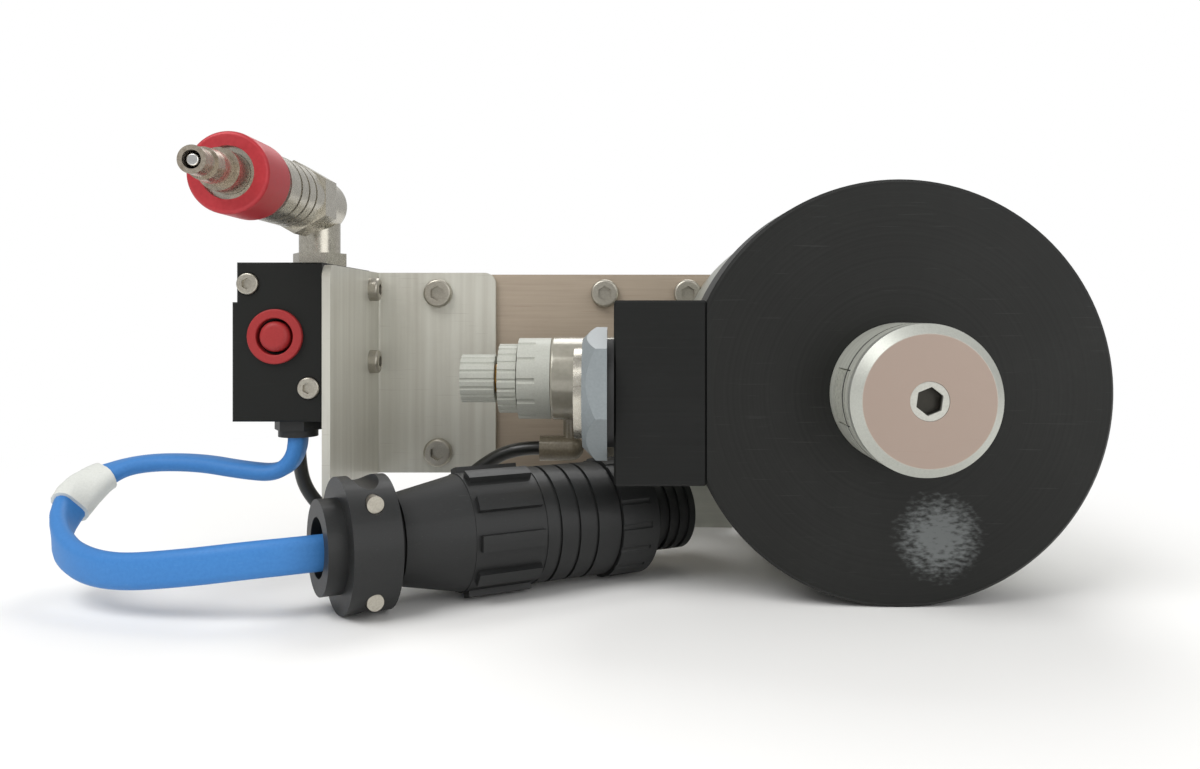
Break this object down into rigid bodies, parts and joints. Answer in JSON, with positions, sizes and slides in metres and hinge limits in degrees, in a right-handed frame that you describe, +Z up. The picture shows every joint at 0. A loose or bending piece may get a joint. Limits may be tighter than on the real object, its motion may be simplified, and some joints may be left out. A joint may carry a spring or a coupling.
{
  "type": "pneumatic gripper",
  "caption": "Bore gripper: an air cylinder drives a wedge that spreads jaws in a mandrel, with push-button valve, flow regulator, quick coupler and cable connector.",
  "frame": {"origin": "mandrel axis at the front face of the flange", "axes": "+Z up, +Y from the flange back into the cylinder, so the mandrel points to -Y"},
  "size_m": [0.2564, 0.1636, 0.1087],
  "materials": {
    "black_anodised": "turned black anodised aluminium",
    "valve_black": "black anodised",
    "turned_aluminium": "fine turned",
    "steel_mandrel": "machined, worn",
    "jaw_steel": "toothed",
    "screw_steel": "bright screw steel",
    "brushed_stainless": "brushed sheet",
    "spring_steel": "drawn wire",
    "rubber": "matt",
    "bronze": "sintered bronze",
    "grey_fitting": "satin grey",
    "nickel": "nickel plated brass",
    "clear_body": "translucent body over nickel",
    "light_plastic": "moulded light grey",
    "brass": "turned",
    "smoke_fitting": "smoked moulding",
    "red_anodised": "red anodised",
    "nipple_steel": "tinted steel",
    "red_plastic": "moulded red",
    "connector_plastic": "moulded black",
    "blue_cable": "blue jacket",
    "black_tube": "black polyurethane tube"
  },
  "bodies": {
    "root": {"air_tube": "black_tube", "arm_adapter": "turned_aluminium", "arm_clamp_screws": "screw_steel", "block_screws": "screw_steel", "body_screws": "screw_steel", "bracket_screws": "screw_steel", "button_ring": "red_plastic", "button_spring": "spring_steel", "cable_clamp": "connector_plastic", "cable_clamp_screws": "screw_steel", "cable_gland": "connector_plastic", "collar_spring": "spring_steel", "connector_backshell": "connector_plastic", "connector_body": "connector_plastic", "contact_insert": "connector_plastic", "contact_pins": "brass", "coupler_body": "nickel", "cover_seal": "rubber", "cylinder_body": "turned_aluminium", "flange": "black_anodised", "guide_bush": "bronze", "inlet_elbow": "nickel", "jaw_garter": "rubber", "mandrel_sleeve": "steel_mandrel", "plate_screws": "screw_steel", "plug_nipple": "nipple_steel", "port_block": "black_anodised", "rear_cover": "turned_aluminium", "rear_plate": "brushed_stainless", "regulator_body": "clear_body", "regulator_bonnet": "brass", "regulator_collar": "light_plastic", "regulator_elbow": "smoke_fitting", "regulator_nipple": "nickel", "return_spring": "spring_steel", "signal_cable": "blue_cable", "valve_block": "valve_black", "valve_bracket": "brushed_stainless", "valve_mount_screws": "screw_steel", "valve_screws": "screw_steel", "valve_tube_fitting": "nickel", "vent_body": "grey_fitting", "vent_filter": "bronze", "vent_ring": "nickel", "vent_seal": "rubber"},
    "draw": {"piston": "turned_aluminium", "piston_seal": "rubber", "piston_rod": "steel_mandrel", "drive_wedge": "steel_mandrel", "nose_cap": "steel_mandrel", "nose_screw": "screw_steel"},
    "jaw_1": {"jaw_1": "jaw_steel"},
    "jaw_2": {"jaw_2": "jaw_steel"},
    "jaw_3": {"jaw_3": "jaw_steel"},
    "button": {"push_button": "red_plastic"},
    "collar": {"release_collar": "red_anodised"},
    "poppet": {"nipple_poppet": "nickel"},
    "lock": {"lock_ring": "light_plastic"},
    "knob": {"regulator_knob": "light_plastic"},
    "plug_ring": {"coupling_ring": "connector_plastic"}
  },
  "joints": [
    {"name": "draw_slide", "type": "slide", "parent": "root", "child": "draw", "axis": [0, -1, 0], "range_m": [0, 0.004], "stiffness_N_per_m": 900, "springref_m": -0.004, "deforming": ["return_spring", "jaw_garter"]},
    {"name": "jaw_1_slide", "type": "slide", "parent": "root", "child": "jaw_1", "axis": [-1, 0, 0], "range_m": [0, 0.00085]},
    {"name": "jaw_2_slide", "type": "slide", "parent": "root", "child": "jaw_2", "axis": [0.5, 0, 0.866], "range_m": [0, 0.00085]},
    {"name": "jaw_3_slide", "type": "slide", "parent": "root", "child": "jaw_3", "axis": [0.5, 0, -0.866], "range_m": [0, 0.00085]},
    {"name": "button_press", "type": "slide", "parent": "root", "child": "button", "axis": [0, 1, 0], "range_m": [0, 0.0025], "stiffness_N_per_m": 400, "springref_m": -0.001, "deforming": ["button_spring"]},
    {"name": "collar_slide", "type": "slide", "parent": "root", "child": "collar", "axis": [0, 1, 0], "range_m": [0, 0.003], "stiffness_N_per_m": 600, "springref_m": -0.002, "deforming": ["collar_spring"]},
    {"name": "poppet_slide", "type": "slide", "parent": "root", "child": "poppet", "axis": [0, 1, 0], "range_m": [0, 0.0015], "stiffness_N_per_m": 300, "springref_m": -0.001},
    {"name": "knob_turn", "type": "hinge", "parent": "root", "child": "knob", "pos_m": [-0.105, 0.0547, 0], "axis": [1, 0, 0], "range_deg": [-720, 720]},
    {"name": "lock_turn", "type": "hinge", "parent": "root", "child": "lock", "pos_m": [-0.0968, 0.0547, 0], "axis": [1, 0, 0], "range_deg": [-360, 360]},
    {"name": "plug_ring_turn", "type": "hinge", "parent": "root", "child": "plug_ring", "pos_m": [-0.06743, 0.02987, -0.0344], "axis": [0.8746, 0.4848, 0], "continuous": true}
  ],
  "couplings": [
    {"joint": "jaw_1_slide", "follows": "draw_slide", "ratio": 0.2},
    {"joint": "jaw_2_slide", "follows": "draw_slide", "ratio": 0.2},
    {"joint": "jaw_3_slide", "follows": "draw_slide", "ratio": 0.2}
  ]
}
